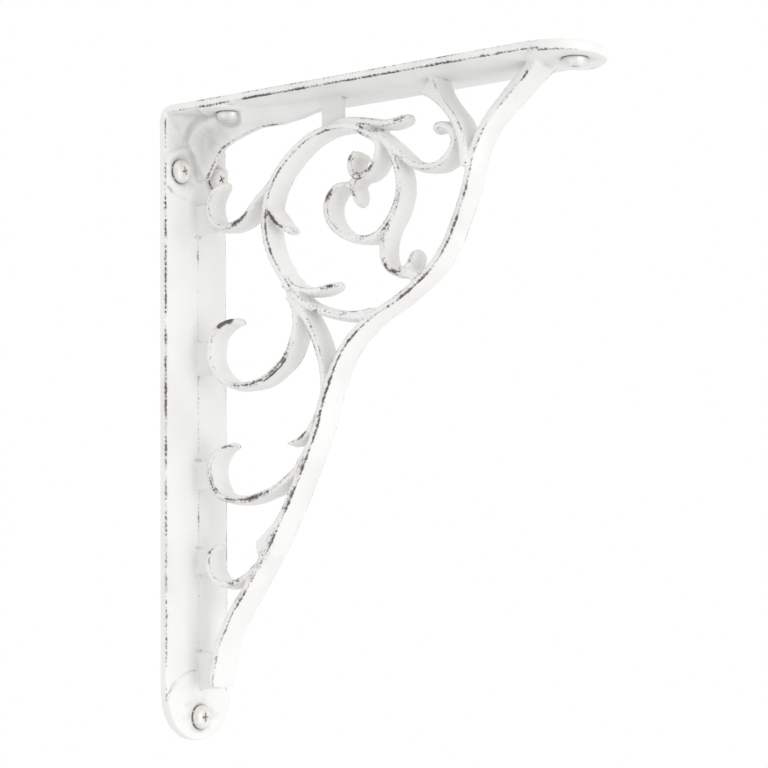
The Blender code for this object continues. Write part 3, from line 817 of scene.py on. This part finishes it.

# The screws.
# Six zinc-plated wood screws with full-shouldered heads and a small cross recess, driven until the head's
# cone sits in its countersink. The recess and the foot of the head are darkened brown as painted shade.
SHANK_RADIUS = 2.2
SHANK_END = 0.4
SHANK_BEVEL = 0.4
HEAD_RADIUS = 4.6
HEAD_BEVEL = 0.1
HEAD_SIDES = 40
HEAD_RISE = 2.9
HEAD_FULLNESS = 0.36
DOME_RINGS = 12
DOME_TURN = 7
RECESS_SPAN = 4.0
RECESS_WIDTH = 1.1
RECESS_DEPTH = 1.1
RECESS_TAPER = 0.5
RECESS_OVER = 0.2
RECESS_LIP = 0.25
# Painted shade where the head meets its countersink: over what height it fades and how dark it is
FOOT_HEIGHT = 0.5
FOOT_SHADE = 0.6
TURN_STEP = 17
SHARP_FROM = 38
ZINC_METALLIC = 0.4
ZINC_ROUGHNESS = (0.34, 0.52)
ZINC_RELIEF = 0.00008
ZINC = (0.85, 0.845, 0.82, 1)
DULL_ZINC = (0.70, 0.69, 0.655, 1)
# Brown colour of the painted shade in the recess and at the head's foot
RECESS_SHADE = (0.36, 0.315, 0.27, 1)


def screw_head():
    """One screw standing on its own axis, with painted shade stored on the vertices of its recess and its
    foot.
    """
    profile = [(SHANK_RADIUS - SHANK_BEVEL, SHANK_END), (SHANK_RADIUS, SHANK_END + SHANK_BEVEL),
               (SHANK_RADIUS, THROAT + HEAD_BEVEL), (HEAD_RADIUS - HEAD_BEVEL, PAD - HEAD_BEVEL),
               (HEAD_RADIUS, PAD + HEAD_BEVEL)]
    for i in range(1, DOME_RINGS + 1):
        angle = math.radians(DOME_TURN * i)
        profile.append((HEAD_RADIUS * math.cos(angle) ** HEAD_FULLNESS, PAD + HEAD_RISE * math.sin(angle)))
    rings = []
    for radius, height in profile:
        ring = []
        for i in range(HEAD_SIDES):
            a = 2 * math.pi * i / HEAD_SIDES
            ring.append((radius * math.cos(a), radius * math.sin(a), height))
        rings.append(ring)
    head = closed_solid("screw_head", rings)
    floor = PAD + HEAD_RISE - RECESS_DEPTH
    for u, v in ((RECESS_SPAN / 2, RECESS_WIDTH / 2), (RECESS_WIDTH / 2, RECESS_SPAN / 2)):
        wings = []
        for share, height in ((RECESS_TAPER, floor), (1.0, PAD + HEAD_RISE + RECESS_OVER)):
            a, b = u * share, v * share
            wings.append([(-a, -b, height), (a, -b, height), (a, b, height), (-a, b, height)])
        carve(head, closed_solid("recess", wings))
    # Painted shade: fully in the recess and on the cone down in the countersink, partly at the foot of the
    # head
    painted_shade = []
    for vertex in head.data.vertices:
        x, y, z = vertex.co / MM
        out = min(1.0, math.hypot(x, y) / HEAD_RADIUS)
        dome = PAD + HEAD_RISE * math.sqrt(1 - out ** (2 / HEAD_FULLNESS))
        sunk = 1.0 if THROAT < z < PAD or PAD < z < dome - RECESS_LIP else 0.0
        painted_shade.append(max(sunk, FOOT_SHADE * (1 - abs(z - PAD) / FOOT_HEIGHT)))
    head.data.attributes.new("painted_shade", "FLOAT", "POINT").data.foreach_set("value", painted_shade)
    return head


def zinc_steel():
    """Plated steel with faint blotches, and brown painted shade where the mesh's attribute says so."""
    mat, add, shader = new_material("dull_zinc_steel")
    links = mat.node_tree.links
    place = add("ShaderNodeTexCoord").outputs["Object"]
    blotch = add("ShaderNodeTexNoise", {"Vector": place, "Scale": 320.0, "Detail": 3.0}).outputs["Fac"]
    scratch = add("ShaderNodeTexNoise", {"Vector": place, "Scale": 2400.0, "Detail": 2.0}).outputs["Fac"]
    painted_shade = add("ShaderNodeAttribute", attribute_name="painted_shade").outputs["Fac"]
    share = add("ShaderNodeMapRange", {"Value": blotch, "From Min": 0.4, "From Max": 0.7}).outputs["Result"]
    plated = add("ShaderNodeMix", {0: share, 6: ZINC, 7: DULL_ZINC}, data_type="RGBA").outputs[2]
    # Painted shade: brown where the screw's recess and foot lie in shade
    colour = add("ShaderNodeMix", {0: painted_shade, 6: plated, 7: RECESS_SHADE}, data_type="RGBA").outputs[2]
    links.new(colour, shader.inputs["Base Color"])
    least, most = ZINC_ROUGHNESS
    dullness = add("ShaderNodeMapRange", {"Value": blotch, "To Min": least, "To Max": most}).outputs["Result"]
    links.new(dullness, shader.inputs["Roughness"])
    shader.inputs["Metallic"].default_value = ZINC_METALLIC
    bump = add("ShaderNodeBump", {"Height": scratch, "Strength": 0.3, "Distance": ZINC_RELIEF})
    links.new(bump.outputs["Normal"], shader.inputs["Normal"])
    return mat


def screw_tree():
    """Stands a copy of the head on every vertex, leaned as the vertex says, in the given steel."""
    tree = new_tree("screws_in_their_holes", {"Head": "NodeSocketObject", "Size": "NodeSocketFloat",
                                              "Steel": "NodeSocketMaterial"})
    add = node_layer(tree)
    given = add("NodeGroupInput")
    head = add("GeometryNodeObjectInfo", {"Object": given.outputs["Head"]})
    lean = add("GeometryNodeInputNamedAttribute", {"Name": "lean"}, data_type="FLOAT_VECTOR")
    turned = add("FunctionNodeEulerToRotation", {0: lean.outputs["Attribute"]})
    driven = add("GeometryNodeInstanceOnPoints", {
        "Points": given.outputs["Geometry"], "Instance": head.outputs["Geometry"],
        "Rotation": turned.outputs[0], "Scale": given.outputs["Size"]})
    real = add("GeometryNodeRealizeInstances", {0: driven.outputs[0]})
    dressed = add("GeometryNodeSetMaterial", {
        "Geometry": real.outputs[0], "Material": given.outputs["Steel"]})
    add("NodeGroupOutput", {0: dressed.outputs[0]})
    return tree


def screw_places():
    """One vertex for each screw at the foot of its hole, with how its axis leans and how far it is turned."""
    mesh = bpy.data.meshes.new("fixing_screws")
    feet = [Vector(place(across, along, 0)) * MM for place, across, along in HOLES.values()]
    mesh.from_pydata(feet, [], [])
    leans = []
    for i, (place, _, _) in enumerate(HOLES.values()):
        out_of_plate = Vector((1, 0, 0)) if place is on_wall else Vector((0, 0, -1))
        turn = Matrix.Rotation(math.radians(TURN_STEP * i), 3, out_of_plate)
        leans.extend((turn @ out_of_plate.to_track_quat("Z", "Y").to_matrix()).to_euler())
    mesh.attributes.new("lean", "FLOAT_VECTOR", "POINT").data.foreach_set("vector", leans)
    obj = bpy.data.objects.new("fixing_screws", mesh)
    bpy.context.scene.collection.objects.link(obj)
    return obj


one_screw = screw_head()
screws = grow(screw_places(), screw_tree(), {"Head": one_screw, "Size": 1.0, "Steel": zinc_steel()})
bpy.data.objects.remove(one_screw)
screws.data.shade_smooth()
screws.data.set_sharp_from_angle(angle=math.radians(SHARP_FROM))
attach(screws, "root")
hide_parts(*HOLES)

# The floor, the light and the camera.
# A pale floor well below the bracket, a white room, one broad soft lamp to the right of the camera and the
# photograph's own viewpoint.
FLOOR_DROP = 1.0
FLOOR_REACH = 4.0
FLOOR_WHITE = (0.9, 0.9, 0.9, 1)
ROOM_WHITE = (1, 1, 1, 1)
ROOM_STRENGTH = 1.0
LAMP_WATTS = 6.0
LAMP_FROM = Vector((0.95, -0.14, -0.12))
LAMP_DISTANCE = 1.6
LAMP_WIDTH = 0.8
CAMERA_PLACE = (0.6059, -0.7221, -0.0839)
CAMERA_TURN = (35.32, 6.0, -0.65)
FOCAL_LENGTH = 110.92
floor_mesh = bpy.data.meshes.new("floor")
floor_corners = [(x * FLOOR_REACH, y * FLOOR_REACH, 0) for x, y in ((-1, -1), (1, -1), (1, 1), (-1, 1))]
floor_mesh.from_pydata(floor_corners, [], [(0, 1, 2, 3)])
floor_mesh.transform(Matrix.Translation((0, 0, cad_low.z - FLOOR_DROP)))
floor = bpy.data.objects.new("floor", floor_mesh)
bpy.context.scene.collection.objects.link(floor)
floor_finish, _, floor_shader = new_material("pale_floor")
floor_shader.inputs["Base Color"].default_value = FLOOR_WHITE
floor_mesh.materials.append(floor_finish)

world = bpy.data.worlds.new("white_room")
world.use_nodes = True
world.node_tree.nodes["Background"].inputs["Color"].default_value = ROOM_WHITE
world.node_tree.nodes["Background"].inputs["Strength"].default_value = ROOM_STRENGTH
bpy.context.scene.world = world
bpy.context.scene.view_settings.view_transform = "Standard"

lamp_data = bpy.data.lights.new("soft_lamp", "AREA")
lamp_data.energy = LAMP_WATTS
lamp_data.size = LAMP_WIDTH
lamp = bpy.data.objects.new("soft_lamp", lamp_data)
middle = (cad_low + cad_high) / 2
lamp.matrix_world = (Matrix.Translation(middle + LAMP_FROM.normalized() * LAMP_DISTANCE)
                     @ LAMP_FROM.to_track_quat("Z", "Y").to_matrix().to_4x4())
bpy.context.scene.collection.objects.link(lamp)

camera_data = bpy.data.cameras.new("camera")
camera_data.lens = FOCAL_LENGTH
camera_data.sensor_width = 36.0
camera_data.clip_end = 20.0
camera = bpy.data.objects.new("camera", camera_data)
azimuth, pitch, roll = (math.radians(angle) for angle in CAMERA_TURN)
camera.matrix_world = (Matrix.Translation(CAMERA_PLACE) @ Matrix.Rotation(azimuth, 4, "Z")
                       @ Matrix.Rotation(math.pi / 2 + pitch, 4, "X") @ Matrix.Rotation(roll, 4, "Z"))
bpy.context.scene.collection.objects.link(camera)
bpy.context.scene.camera = camera
